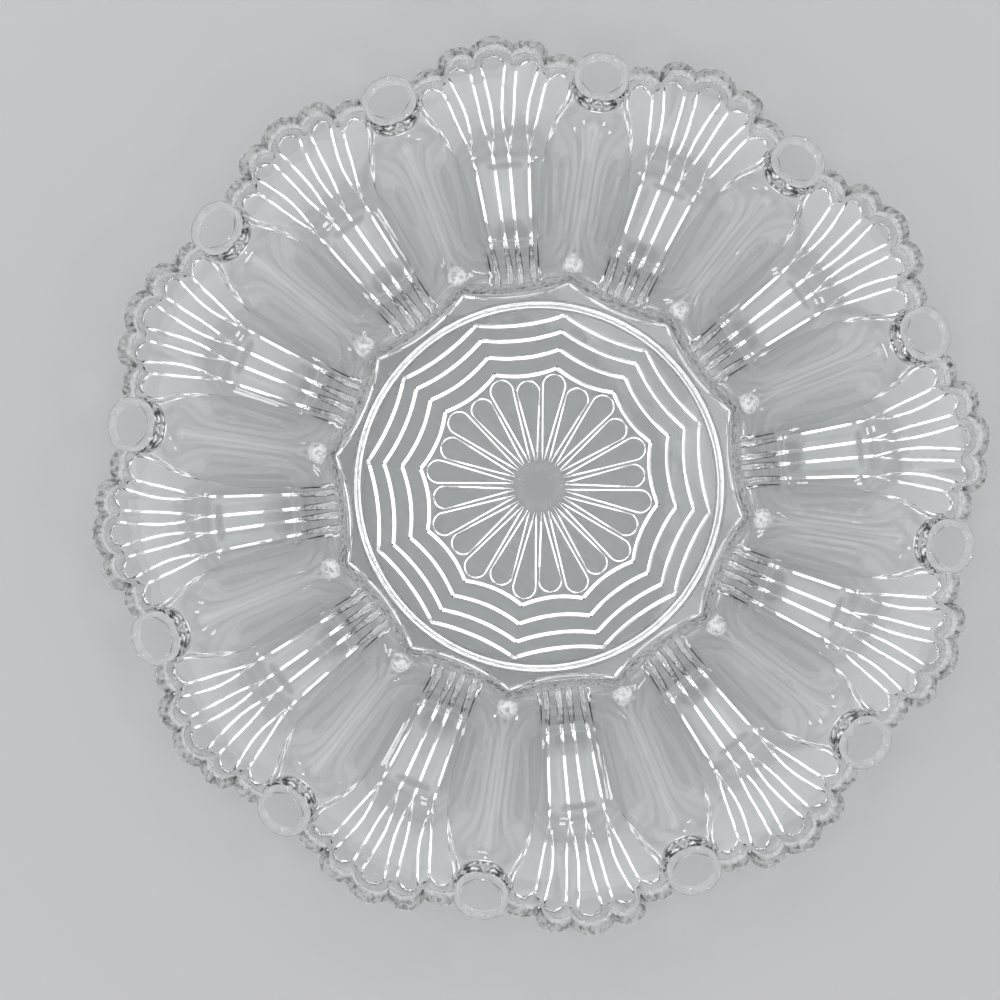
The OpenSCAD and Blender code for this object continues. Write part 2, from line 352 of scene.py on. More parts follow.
@dataclass
class CupColumns:
    """Columns of cuts round the plate, which follow the sides of the ribs as they spread."""

    s: PlateSizes
    loop: LoopSizes
    ribs: RibSizes
    inner_shares: np.ndarray = shares(0.0, 0.09, 0.325, 0.445)
    rim_shares: np.ndarray = shares(0.0, 0.256, 0.744, 1.0)
    spread_span: tuple[float, float] = (0.65, 0.98)
    spread_power: float = 3.0
    outer_spread_span: tuple[float, float] = (0.62, 0.885)
    outer_spread_power: float = 2.0
    swell_shares: np.ndarray = shares(1.0, 0.95, 0.35, 0.35)
    base_shares: np.ndarray = shares(0.0, 0.0, 1.0, 1.2, 1.2)
    rib_stops: tuple[float, ...] = (1.0 / 3.0, 2.0 / 3.0, 1.0)
    flat_stops: tuple[float, ...] = (0.18, 0.5, 0.82)
    middle_stop: float = 0.6
    flank_flats: int = 6
    eased_share: float = 0.5
    first_notch_share: float = 0.985
    side_clearance: float = 0.06

    def __post_init__(self) -> None:
        """Lays out the columns of every cup, in order round the plate."""
        s, cups = self.s, self.s.cup_count
        self.notch_angle = math.degrees(math.asin(self.loop.notch_a / self.loop.centre_r))
        self.lobe_end = s.half_pitch - self.notch_angle - self.side_clearance
        columns = [np.concatenate(column) for column in zip(*self._half_cup())]
        on_axis = (Zone.MIDDLE_FLUTE, Spot.FLAT, 0.0, 0.0)
        self.zone, self.spot, self.value, self.part = (
            np.tile(np.concatenate([half[::-1], [middle], half[:-1]]), cups)
            for half, middle in zip(columns, on_axis)
        )
        across = len(columns[0])
        self.side = np.tile(np.repeat([-1.0, 1.0], across), cups)
        self.turn = np.repeat(np.arange(cups) * 2.0 * s.half_pitch, 2 * across)
        self.count = len(self.zone)
        self.in_middle, self.in_flank = self.zone == Zone.MIDDLE_FLUTE, self.zone == Zone.FLANK
        self.flute = np.minimum(self.zone, Zone.OUTER_FLUTE)
        self.in_rib = np.where(self.spot == Spot.FLAT, 0.0, 1.0 - self.value)
        self.rib = np.minimum(self.zone + (self.spot == Spot.RIB_AFTER), Zone.FLANK)
        self.outline = self._outline()

    def _half_cup(self) -> list[tuple[np.ndarray, ...]]:
        """Zone, spot, value there and share of the zone's width at the rim, zone by zone.

        The value on a rib is 0 on its middle, 1/3 in its groove, 2/3 on its crest and 1 at its
        side. On the flat it is the share of the way across.
        """
        stops = self.rib_stops
        before = [(Spot.RIB_BEFORE, v) for v in stops]
        after = [(Spot.RIB_AFTER, v) for v in (*stops[::-1], 0.0)]
        flute = before + [(Spot.FLAT, v) for v in self.flat_stops] + after
        flats = [(Spot.FLAT, (i + 1) / self.flank_flats) for i in range(self.flank_flats)]

        def flute_ease(t: np.ndarray) -> np.ndarray:
            """Slow at both sides of a flute: (1 - cos pi t) / 2."""
            return (1.0 - np.cos(np.pi * t)) / 2.0

        middle = [(Spot.FLAT, self.middle_stop)] + after
        zones = {
            Zone.MIDDLE_FLUTE: (middle, lambda t: np.sin(np.pi / 2.0 * t)),
            Zone.SECOND_FLUTE: (flute, flute_ease),
            Zone.OUTER_FLUTE: (flute, flute_ease),
            Zone.FLANK: (before + flats, lambda t: t),
        }
        out = []
        for zone, (entries, ease) in zones.items():
            even = np.arange(1, len(entries) + 1) / len(entries)
            spots, values = (np.array(column) for column in zip(*entries))
            parts = mix(even, ease(even), self.eased_share)
            out.append((np.full(len(entries), int(zone)), spots, values, parts))
        return out

    def _spread(self, r: np.ndarray, outer: np.ndarray) -> np.ndarray:
        """How far the edges have spread at radius r: the share of their span, to a power."""
        q = r / self.s.plate_r
        ribs = ramp(q, *self.spread_span) ** self.spread_power
        flank = ramp(q, *self.outer_spread_span) ** self.outer_spread_power
        return np.where(outer, flank, ribs)

    def edge(self, i: np.ndarray, r: np.ndarray) -> np.ndarray:
        """Angle of the edge i between two zones at radius r: the crest of a rib."""
        inner = self.inner_shares[i] * self.s.half_pitch
        return mix(inner, self.rim_shares[i] * self.lobe_end, self._spread(r, i == Zone.FLANK))

    def grown(self, r: np.ndarray) -> np.ndarray:
        """How far the ribs have grown at radius r, from 0 in the cup to 1 on the wall."""
        return smooth(ramp(r / self.s.plate_r, *self.ribs.grow_span))

    def rib_width(self, i: np.ndarray, r: np.ndarray) -> np.ndarray:
        """Half of the width of rib i at radius r, in millimetres."""
        ribs = self.ribs
        inner = mix(ribs.border_half, ribs.floor_half, smooth(ramp(r, *ribs.border_span)))
        return mix(inner, ribs.rim_half, self.grown(r)) * np.array(ribs.half_shares)[i]

    def rib_half(self, i: np.ndarray, r: np.ndarray) -> np.ndarray:
        """Half of the width of rib i at radius r, as an angle."""
        return np.degrees(self.rib_width(i, r) / r)

    def near_rib(self, r: np.ndarray, a: np.ndarray) -> np.ndarray:
        """How near the angle a is to a full rib at radius r: 1 on its middle, 0 at its side."""
        ribs = (np.array(Zone.SECOND_FLUTE), np.array(Zone.OUTER_FLUTE))
        near = (1.0 - np.abs(a - self.edge(i, r)) / self.rib_half(i, r) for i in ribs)
        return np.maximum(*near)

    def rib_shape(self, r: np.ndarray) -> tuple[np.ndarray, np.ndarray]:
        """The section of the ribs at radius r: two straight sides, and a groove if there is room.

        Args:
            r: radius on every column.

        Returns:
            How far each column is from the middle of its rib, as a share of the half width, and
            its share of the height. Flats are at 0.
        """
        ribs = self.ribs
        half = np.maximum(self.rib_width(self.rib, r), ribs.least_half)
        crest = np.maximum(1.0 - ribs.side_w / half, ribs.least_shares[0])
        groove = np.maximum(1.0 - (1.0 + ribs.groove) * ribs.side_w / half, ribs.least_shares[1])
        low = 1.0 - np.clip(half / ribs.side_w - 1.0, 0.0, ribs.groove)
        step = np.round(len(self.rib_stops) * self.value).astype(int)
        place = np.choose(step, [np.zeros(self.count), groove, crest, np.ones(self.count)])
        rise = np.choose(step, [low, low, np.ones(self.count), np.zeros(self.count)])
        rise = rise * np.minimum(half / ribs.side_w, 1.0)
        return place, np.where(self.spot == Spot.FLAT, 0.0, rise)

    def fitted(self, r: np.ndarray) -> np.ndarray:
        """Angle of every column from its cup's axis where the columns follow the ribs."""
        near, far = self.zone, np.minimum(self.zone + 1, Zone.FLANK)
        low, high = self.edge(near, r), self.edge(far, r)
        low_half, high_half = self.rib_half(near, r), self.rib_half(far, r)
        flat_end = np.where(self.in_flank, self.s.half_pitch, high - high_half)
        spots = [self.spot == Spot.RIB_BEFORE, self.spot == Spot.RIB_AFTER]
        place, _ = self.rib_shape(r)
        ribs = [low + low_half * place, high - high_half * place]
        return np.select(spots, ribs, mix(low + low_half, flat_end, self.value))

    def even(self, r: np.ndarray) -> np.ndarray:
        """Angle of every column from its cup's axis where the columns follow the rim."""
        in_flute = mix(self.edge(self.flute, r), self.edge(self.flute + 1, r), self.part)
        inner = mix(self.inner_shares[Zone.FLANK], 1.0, self.part) * self.s.half_pitch
        sweep = ramp(self.part, self.part[self.in_flank].min(), 1.0) * np.pi / 2.0
        rim = self.s.half_pitch - self.notch_angle * self.first_notch_share * np.cos(sweep)
        flank = mix(inner, rim, self._spread(r, np.array(True)))
        return np.where(self.in_flank, flank, in_flute)

    def _across(self, share: np.ndarray) -> np.ndarray:
        """Place in a flute, from -1 to 1, and from 0 to 1 in half of the middle flute."""
        return np.where(self.in_middle, share, 2.0 * share - 1.0)

    def _lobe_base(self, part: np.ndarray) -> np.ndarray:
        """Radius that the lobes stand on, at a share of the way across each zone."""
        drop = mix(self.base_shares[self.flute], self.base_shares[self.flute + 1], part)
        return self.s.plate_r - self.s.lobe_swell - self.s.shoulder_drop * drop

    def _outline(self) -> np.ndarray:
        """Radius of the rim on every column: round lobes on a stepped base, then the notch."""
        s, zone = self.s, self.flute
        t = self._across(self.part)
        near = np.where(self.in_middle, -self.rim_shares[1], self.rim_shares[zone])
        wide = (self.rim_shares[zone + 1] - near) / 2.0
        half = s.plate_r * np.sin(np.radians(wide * self.lobe_end))
        swell = s.lobe_swell * self.swell_shares[zone]
        rho = (half**2 + swell**2) / (2.0 * swell)
        lobe = np.sqrt(np.maximum(rho**2 - (t * half) ** 2, 0.0)) - (rho - swell)
        return np.where(self.in_flank, self._notch(), self._lobe_base(self.part) + lobe)

    def _notch(self) -> np.ndarray:
        """Radius where the ellipse of the notch meets each column: its nearer crossing."""
        a, b, r0 = self.loop.notch_a, self.loop.notch_b, self.loop.centre_r
        away = np.radians(self.s.half_pitch - self.even(np.full(self.count, self.s.plate_r)))
        k2 = (np.cos(away) / b) ** 2 + (np.sin(away) / a) ** 2
        k1 = r0 * np.cos(away) / b**2
        k0 = (r0 / b) ** 2 - 1.0
        return (k1 - np.sqrt(np.maximum(k1 * k1 - k2 * k0, 0.0))) / k2

    def flat_end(self, band: float, notch_band: float, arch: float) -> np.ndarray:
        """Radius at which the flats of the underside end, in a low arch across each flute.

        Args:
            band: distance from the top of a lobe to the end of its flute.
            notch_band: distance from the notch to the end of the flank.
            arch: how far the arch rises above its sides.

        Returns:
            The radius on every column. On a rib it runs over to the next flute.
        """
        middle = self._lobe_base(np.where(self.in_middle, 0.0, 0.5))
        own = middle + self.s.lobe_swell * self.swell_shares[self.flute] - band - arch
        own = np.where(self.in_flank, self._notch() - notch_band, own)
        sides = np.array([own[self.zone == i].max() for i in Zone])
        step = self.spot - Spot.FLAT
        crest = (own + sides[np.clip(self.zone + step, 0, Zone.FLANK)]) / 2.0
        across = self._across(self.value)
        rise = np.where((step == 0) & ~self.in_flank, arch * (1.0 - across**2), 0.0)
        return np.where(step == 0, own + rise, mix(own, crest, self.in_rib))


@dataclass(frozen=True)
class RimRoll:
    """The thick rounded edge that follows the lobes, in millimetres."""

    band: float = 4.2
    roll_r: float = 2.15
    notch_band: float = 2.8
    notch_roll_r: float = 1.5
    angles: tuple[float, ...] = (148.0, 122.0, 96.0, 70.0, 44.0, 18.0, -8.0, -34.0, -60.0)
    flat_band: float = 4.5
    arch: float = 1.7
    end_rows: tuple[tuple[float, float], ...] = ((1.05, 0.35), (0.62, 1.0), (0.03, 0.05))
    fit_w: float = 2.0
    notch_side: float = 0.5
    notch_share: float = 0.3


@dataclass
class CupGrid:
    """The glass from the flat centre on top, over the rim, to the foot ring underneath.

    Rows run round the plate and columns run out over the cups. A point is given by its radius,
    its height and its angle from the axis of its cup.
    """

    s: PlateSizes
    loop: LoopSizes
    ribs: RibSizes = RibSizes()
    roll: RimRoll = RimRoll()
    centre_r: float = 53.8
    step_rows: tuple[float, ...] = (-0.62, -0.5, -0.38, -0.24, -0.08, 0.08, 0.24, 0.38, 0.5, 0.6)
    inner_wall: tuple[float, ...] = (0.12, 0.27, 0.42, 0.57, 0.72, 0.86, 1.0)
    bottom: tuple[float, ...] = (0.33, 0.67, 1.0)
    outer_wall: tuple[float, ...] = (
        0.08, 0.17, 0.26, 0.35, 0.44, 0.53, 0.62, 0.71, 0.79, 0.86, 0.93, 1.0
    )
    under_step: tuple[float, ...] = (0.36, 0.3, 0.18, 0.06, -0.06, -0.18, -0.3, -0.42)
    follow_power: float = 3.0
    side_slope: float = 0.93
    border_ridge: tuple[float, float] = (2.9, 0.65)

    def __post_init__(self) -> None:
        """Sets up the section and the columns, and reads the rows from them."""
        self.section = GlassSection(self.s, self.loop)
        self.columns = CupColumns(self.s, self.loop, self.ribs)
        angle = self.columns.even(np.full(self.columns.count, self.s.border_r))
        self.border = self.section.border.radius(angle)
        rows = self._top_rows() + self._rim_rows() + self._under_rows()
        rows += self._border_rows() + self._foot_rows()
        self.r, self.z, self.a = (np.array(values) for values in zip(*rows))

    def _top_row(self, r: np.ndarray) -> Row:
        """One row on the top, with a faint rise over each rib."""
        c = self.columns
        r = np.broadcast_to(r, (c.count,)).astype(float)
        a = c.even(r)
        rise = self.ribs.top_h * c.grown(r) * smooth(c.near_rib(r, a))
        return r, self.section.top(r, a) + rise, a

    def _under_row(self, r: np.ndarray, end_rise: float = 0.0, fit: float = 1.0) -> Row:
        """One row on the underside, with its ribs.

        Args:
            r: radius of the row on every column.
            end_rise: share of the height of the ridge that ends the flats, from 0 to 1.
            fit: 1 where the columns follow the ribs, 0 where they follow the rim.

        Returns:
            The row's radii, heights and angles.
        """
        c = self.columns
        r = np.broadcast_to(r, (c.count,)).astype(float)
        a = mix(c.even(r), c.fitted(r), fit)
        q = self.section.level_r(r, a)
        height = mix(self.ribs.floor_h, self.ribs.rim_h, c.grown(r)) * self.section.under_step_up(q)
        ridge = np.where(c.in_flank & (c.spot == Spot.FLAT), smooth(c.value), 0.0)
        _, rise = c.rib_shape(r)
        bulge = np.maximum(rise, end_rise)
        down = mix(0.5 - bulge, 0.0, ridge * (1.0 - end_rise))
        return r, self.section.under(r, a) + height * down, a

    def _wall_stops(self, end: np.ndarray) -> list[np.ndarray]:
        """Radii of the rows from the step to the rim, which come to follow the rim's shape."""
        s = self.s
        lead = s.border_r + s.step_w * self.step_rows[-1]
        full = s.plate_r - self.roll.band - lead
        first = s.cup_start_r - lead
        second = s.cup_end_r - s.cup_start_r
        runs = [first * t for t in self.inner_wall]
        runs += [first + second * t for t in self.bottom]
        runs += [mix(first + second, full, t) for t in self.outer_wall]
        start = self.border + s.step_w * self.step_rows[-1]
        even = end.mean()
        out = [run / full for run in runs]
        return [mix(start, even, t) + (end - even) * t**self.follow_power for t in out]

    def _band(self, lobe: float, notch: float) -> np.ndarray:
        """A width that is one value on the lobes and another round the notch."""
        c = self.columns
        t = smooth(np.where(c.in_flank, c.part / self.roll.notch_share, 0.0))
        return mix(lobe, notch, t)

    def _top_rows(self) -> list[Row]:
        """Rows on the top: the edge of the flat centre, step, cup and wall, up to the roll."""
        s, c = self.s, self.columns
        rows = [self._top_row(self.centre_r)]
        rows += [self._top_row(self.border + s.step_w * t) for t in self.step_rows]
        end = c.outline - self._band(self.roll.band, self.roll.notch_band)
        return rows + [self._top_row(r) for r in self._wall_stops(end)]

    def _rim_rows(self) -> list[Row]:
        """Rows round the roll: a circle in the plane of each column, off its outline."""
        c = self.columns
        rho = self._band(self.roll.roll_r, self.roll.notch_roll_r)
        inner = c.outline - self.s.rim_round
        centre_r, centre_z = c.outline - rho, self.section.top(inner, c.even(inner)) - rho
        rows = []
        for turn in np.radians(np.array(self.roll.angles)):
            r = centre_r + rho * np.cos(turn)
            rows.append((r, centre_z + rho * np.sin(turn), c.even(r)))
        return rows

    def _under_rows(self) -> list[Row]:
        """Rows on the underside: the ends of the flats, then the wall, the cup and the step."""
        s, c, roll = self.s, self.columns, self.roll
        end = c.flat_end(roll.flat_band, roll.notch_band, roll.arch)
        scale = self._band(1.0, roll.notch_side)
        rows = [
            self._under_row(end + scale * run, rise, 1.0 - run / roll.fit_w)
            for run, rise in roll.end_rows
        ]
        rows += [self._under_row(r) for r in self._wall_stops(end)[::-1]]
        return rows + [self._under_row(self.border + s.step_w * t) for t in self.under_step]

    def _border_rows(self) -> list[Row]:
        """Rows of the fine ridge that runs round inside the border, with straight sides."""
        s, c = self.s, self.columns
        inside, half = self.border_ridge
        angle = c.even(self.border)
        middle, wide = self.border - inside, half * self.section.border.longer(self.border, angle)
        base = np.full(c.count, s.foot_h)
        crest = base - half * self.side_slope
        return [(middle + wide, base, angle), (middle, crest, angle), (middle - wide, base, angle)]

    def _foot_rows(self) -> list[Row]:
        """Rows of the foot ring: a low bar that stands on two fine ridges side by side."""
        s, count = self.s, self.columns.count
        flat, half, foot = s.foot_w / 2.0, s.foot_top_w / 2.0, s.foot_h
        ridge = flat / 2.0 * self.side_slope
        slant = (mix(half, flat, 0.5), mix(foot, ridge, 0.5))
        side = ((half, foot), slant, (flat, ridge), (flat / 2.0, 0.0))
        shape = side + ((0.0, ridge),) + tuple((-x, z) for x, z in side[::-1])
        angle = self.columns.fitted(np.full(count, s.foot_r))
        return [(np.full(count, s.foot_r + x), np.full(count, z), angle) for x, z in shape]

    def angles(self) -> np.ndarray:
        """Angles of all the points round the plate, in degrees: rows by columns."""
        c = self.columns
        return c.turn[None, :] + c.side[None, :] * self.a

    def points(self) -> np.ndarray:
        """Places of all the points, in metres: rows by columns by x, y, z."""
        return round_points(self.r, self.z, self.angles())


@dataclass(frozen=True)
class CentrePattern:
    """Scalloped web and rosette in the underside of the centre, in millimetres."""

    line_shares: tuple[float, ...] = (0.893, 0.808, 0.712, 0.612)
    line_bow: float = 1.4
    line_half: float = 0.56
    crest_half: float = 0.04
    web_depth: float = 0.485
    petals_a_cup: int = 2
    petal_half: float = 3.35
    petal_start_r: float = 6.4
    outline_half: float = 0.24
    outline_h: float = 0.225
    outline_span: tuple[float, float] = (5.6, 7.6)
    petal_ends: tuple[float, float] = (31.3, 33.4)
    gap_end: float = 32.2


@dataclass
class CentreGrid:
    """The underside of the flat centre, on columns that follow the outlines of the petals.

    A petal has a column on its axis. At each side are one inside the petal, three on the ridge
    that outlines it (its inner side, crest and outer side) and one in the gap to the next.
    """

    s: PlateSizes
    p: CentrePattern = CentrePattern()
    inside_share: float = 0.6
    offsets: tuple[float, ...] = (-1.0, 0.0, 1.0)
    least_angles: tuple[float, ...] = (0.5, 0.65, 0.8)
    most_shares: tuple[float, ...] = (0.88, 0.92, 0.96)
    end_stops: tuple[float, ...] = (
        -0.24, -0.12, 0.0, 0.04, 0.1, 0.18, 0.26, 0.4, 0.6, 0.85, 1.25, 1.8, 2.4, 3.2
    )
    level_rows: tuple[float, ...] = (
        26.0, 23.5, 21.0, 18.0, 15.0, 12.5, 10.5, 9.0, 7.8, 7.0, 6.4, 5.8, 4.5
    )
    first_gap: float = 0.03

    def __post_init__(self) -> None:
        """Lays out the columns of every petal, and reads the rows."""
        self.half = self.s.half_pitch / self.p.petals_a_cup
        petals = self.p.petals_a_cup * self.s.cup_count
        steps = len(self.offsets) + 2
        one = np.arange(1 - steps, steps + 1)
        self.step = np.tile(np.abs(one), petals)
        self.way = np.tile(np.sign(one), petals)
        self.petal = np.repeat(np.arange(petals), len(one))
        self.end = np.array(self.p.petal_ends)[self.petal % self.p.petals_a_cup]
        self.count = len(self.step)
        self.level = self.s.foot_h + self.p.web_depth
        rows = self._web_rows() + self._petal_rows()
        self.r, self.z, self.a = (np.array(values) for values in zip(*rows))

    def _angle(self, out: np.ndarray) -> np.ndarray:
        """Angle of every column, where out is its angle off the axis of its petal."""
        return 2.0 * self.half * self.petal + self.way * out

    def _even(self) -> np.ndarray:
        """Angle of every column off the axis of its petal, in even steps."""
        return self.step * self.half / self.step.max()

    def _line(self, share: float, angle: np.ndarray) -> tuple[np.ndarray, np.ndarray]:
        """A line of the web at an angle.

        Args:
            share: radius of its troughs as a share of the foot ring's.
            angle: angle of every column.

        Returns:
            Its radius, and how much longer a step across it is when it is taken along the radius.
        """
        off = self.s.off_axis(angle)
        line = ScallopedLine(share * self.s.foot_r, self.p.line_bow, self.s.half_pitch)
        radius = line.radius(off)
        return radius, line.longer(radius, off)

    def _web_rows(self) -> list[Row]:
        """Rows of the web: four narrow ridges with straight sides, and level bands between."""
        s, p = self.s, self.p
        angle = self._angle(self._even())
        low, deep = np.full(self.count, s.foot_h), np.full(self.count, self.level)
        start = s.foot_r - s.foot_top_w / 2.0 - self.first_gap
        rows = [(np.full(self.count, start), deep, angle)]
        for share in p.line_shares:
            line, longer = self._line(share, angle)
            half, crest = p.line_half * longer, p.crest_half * longer
            rows += [(line + half, deep, angle), (line + crest, low, angle)]
            rows += [(line - crest, low, angle), (line - half, deep, angle)]
        return rows

    def _side(self, r: np.ndarray, offset: float) -> np.ndarray:
        """Angle off its axis of a line beside a petal's outline, which is a wedge with a round end.

        Args:
            r: radius on every column.
            offset: distance of the line outside the outline.

        Returns:
            The angle in degrees on every column, 0 where the line ends inside the radius.
        """
        p = self.p
        round_x = self.end - p.petal_half
        slope = np.arctan(p.petal_half / (round_x - p.petal_start_r))
        reach = np.clip((p.petal_start_r * np.sin(slope) - offset) / r, -1.0, 1.0)
        wide = p.petal_half + offset
        cosine = (r**2 + round_x**2 - wide**2) / (2.0 * r * round_x)
        round_end = np.arccos(np.clip(cosine, -1.0, 1.0))
        side = np.where(r > np.hypot(round_x, wide), round_end, slope - np.arcsin(reach))
        return np.degrees(np.maximum(side, 0.0))

    def _fitted(self, r: np.ndarray) -> np.ndarray:
        """Angle of every column off its petal's axis where the columns follow the outline."""
        spots = zip(self.offsets, self.least_angles, self.most_shares)
        sides = [
            np.clip(self._side(r, offset * self.p.outline_half), least, most * self.half)
            for offset, least, most in spots
        ]
        ends = [np.zeros(self.count), self.inside_share * sides[0]]
        return np.choose(self.step, ends + sides + [np.full(self.count, self.half)])

    def _outline_rise(self, r: np.ndarray, out: np.ndarray) -> np.ndarray:
        """Height of the ridge round a petal: 1 on the outline, falling evenly to 0 beside it."""
        p = self.p
        x, y = r * np.cos(np.radians(out)), r * np.sin(np.radians(out))
        round_x = self.end - p.petal_half
        slope = p.petal_half / (round_x - p.petal_start_r)
        wedge = (slope * (x - p.petal_start_r) - y) / np.sqrt(1.0 + slope**2)
        inside = np.where(x > round_x, p.petal_half - np.hypot(x - round_x, y), wedge)
        fade = ramp(r, *p.outline_span)
        return fade * np.maximum(1.0 - np.abs(inside) / p.outline_half, 0.0)

    def _petal_rows(self) -> list[Row]:
        """Rows of the rosette, which follow the ends of the petals and then run level."""
        ends = np.where(self.step == self.step.max(), self.p.gap_end, self.end)
        stops = [ends - stop for stop in self.end_stops]
        stops += [np.full(self.count, r) for r in self.level_rows]
        rows = []
        for r in stops:
            out = self._fitted(r)
            rise = self.p.outline_h * self._outline_rise(r, out)
            rows.append((r, self.level - rise, self._angle(out)))
        return rows

    def points(self) -> np.ndarray:
        """Places of all the points, in metres: rows by columns by x, y, z."""
        return round_points(self.r, self.z, self.a)


def grid_faces(rows: int, columns: int) -> np.ndarray:
    """Four corners of each face of a grid whose columns close on themselves."""
    j, i = np.meshgrid(np.arange(rows - 1), np.arange(columns), indexing="ij")
    after = (i + 1) % columns
    low, high = j * columns, (j + 1) * columns
    return np.stack([low + i, high + i, high + after, low + after], axis=-1).reshape(-1, 4)


def join_rings(outer: np.ndarray, inner: np.ndarray) -> np.ndarray:
    """Triangles between two closed rings of points that have different counts.

    All the points are taken in order of angle: each makes a triangle with the point before it
    on its own ring and the last point passed on the other ring.

    Args:
        outer: angles of the first ring's points in degrees, in order.
        inner: angles of the second ring's points in degrees, in order.

    Returns:
        Three corner numbers for each triangle. The inner ring's follow on from the outer's.
    """
    keys = np.concatenate([outer, inner]) % 360.0
    is_inner = np.repeat([False, True], [len(outer), len(inner)])
    own = np.concatenate([np.arange(len(outer)), np.arange(len(inner))])
    order = np.argsort(keys, kind="stable")
    is_inner, own = is_inner[order], own[order]
    places = np.arange(len(order))

    def last(mask: np.ndarray) -> np.ndarray:
        """Number of the last point passed that the mask takes, round the whole ring."""
        passed = np.maximum.accumulate(np.where(mask, places, -1))
        return own[np.where(passed < 0, places[mask][-1], passed)]

    a, b = last(~is_inner), last(is_inner)
    before_a, before_b = (a - 1) % len(outer), (b - 1) % len(inner)
    first = len(outer)
    from_outer = np.stack([before_a, first + b, a], axis=-1)
    from_inner = np.stack([first + before_b, first + b, a], axis=-1)
    return np.where(is_inner[:, None], from_inner, from_outer)


def new_mesh(name: str, points: np.ndarray, faces: list[np.ndarray]) -> bpy.types.Object:
    """Puts arrays of points and faces into a new object at the origin.

    Args:
        name: name of the object.
        points: places in metres, one row a point.
        faces: arrays of corner numbers, each with one face a row.

    Returns:
        The object, with smooth faces.
    """
    sizes = np.concatenate([np.full(len(f), f.shape[1]) for f in faces])
    corners = np.concatenate([f.reshape(-1) for f in faces])
    mesh = bpy.data.meshes.new(name)
    mesh.vertices.add(len(points))
    mesh.vertices.foreach_set("co", points.astype(np.float32).reshape(-1))
    mesh.loops.add(len(corners))
    mesh.loops.foreach_set("vertex_index", corners.astype(np.int32))
    mesh.polygons.add(len(sizes))
    starts = np.concatenate([[0], np.cumsum(sizes)[:-1]])
    mesh.polygons.foreach_set("loop_start", starts.astype(np.int32))
    mesh.update(calc_edges=True)
    mesh.validate()
    mesh.shade_smooth()
    piece = bpy.data.objects.new(name, mesh)
    bpy.context.scene.collection.objects.link(piece)
    return piece


def tube_ring(ring_r: float, bar_r: float, around: int = 48, across: int = 12) -> Shape:
    """A torus about Z: (R + r cos v) round the axis and r sin v along it."""
    u = np.linspace(0.0, 2.0 * np.pi, around, endpoint=False)[:, None]
    v = np.linspace(0.0, 2.0 * np.pi, across, endpoint=False)[None, :]
    out = ring_r + bar_r * np.cos(v)
    points = np.stack([out * np.cos(u), out * np.sin(u), bar_r * np.sin(v) + 0.0 * u], axis=-1)
    i, j = np.meshgrid(np.arange(around), np.arange(across), indexing="ij")
    i2, j2 = (i + 1) % around, (j + 1) % across
    faces = np.stack([i * across + j, i2 * across + j, i2 * across + j2, i * across + j2], axis=-1)
    return points.reshape(-1, 3), [faces.reshape(-1, 4)]


def ball(halves: tuple[float, ...], around: int = 20, down: int = 10) -> Shape:
    """An ellipsoid as rings of latitude, closed by a fan at each pole."""
    u = np.linspace(0.0, 2.0 * np.pi, around, endpoint=False)[None, :]
    v = np.linspace(0.0, np.pi, down + 1)[1:-1, None]
    rings = np.stack([np.sin(v) * np.cos(u), np.sin(v) * np.sin(u), np.cos(v) + 0.0 * u], axis=-1)
    poles = [[0.0, 0.0, 1.0], [0.0, 0.0, -1.0]]
    points = np.concatenate([rings.reshape(-1, 3), poles]) * np.array(halves)
    quads = grid_faces(down - 1, around)
    i = np.arange(around)
    after, low = (i + 1) % around, (down - 2) * around
    north = np.stack([np.full(around, len(points) - 2), i, after], axis=-1)
    south = np.stack([np.full(around, len(points) - 1), low + after, low + i], axis=-1)
    return points, [quads, north, south]


def ring_of_copies(name: str, shape: Shape, place: Matrix, s: PlateSizes) -> bpy.types.Object:
    """One object that holds a shape once between each two cups.

    Args:
        name: name of the object.
        shape: points about the shape's own middle, in metres, and its faces.
        place: where the shape stands before it is turned round the plate.
        s: sizes of the plate.

    Returns:
        The object.
    """
    points, faces = shape
    count = s.cup_count
    placed = points @ np.array(place.to_3x3()).T + np.array(place.translation)
    turns = np.radians(s.half_pitch + 360.0 / count * np.arange(count))
    cos, sin = np.cos(turns)[:, None], np.sin(turns)[:, None]
    x = placed[None, :, 0] * cos - placed[None, :, 1] * sin
    y = placed[None, :, 0] * sin + placed[None, :, 1] * cos
    z = np.broadcast_to(placed[None, :, 2], x.shape)
    shift = (np.arange(count) * len(points))[:, None, None]
    copies = [(f[None] + shift).reshape(-1, f.shape[1]) for f in faces]
    return new_mesh(name, np.stack([x, y, z], axis=-1).reshape(-1, 3), copies)


def fuse(base: bpy.types.Object, part: bpy.types.Object) -> None:
    """Joins part to base as one closed surface, and deletes part."""
    union = base.modifiers.new("fuse", "BOOLEAN")
    union.operation = "UNION"
    union.solver = "MANIFOLD"
    union.object = part
    graph = bpy.context.evaluated_depsgraph_get()
    fused = bpy.data.meshes.new_from_object(base.evaluated_get(graph), depsgraph=graph)
    base.modifiers.clear()
    base.data = fused
    bpy.data.objects.remove(part, do_unlink=True)


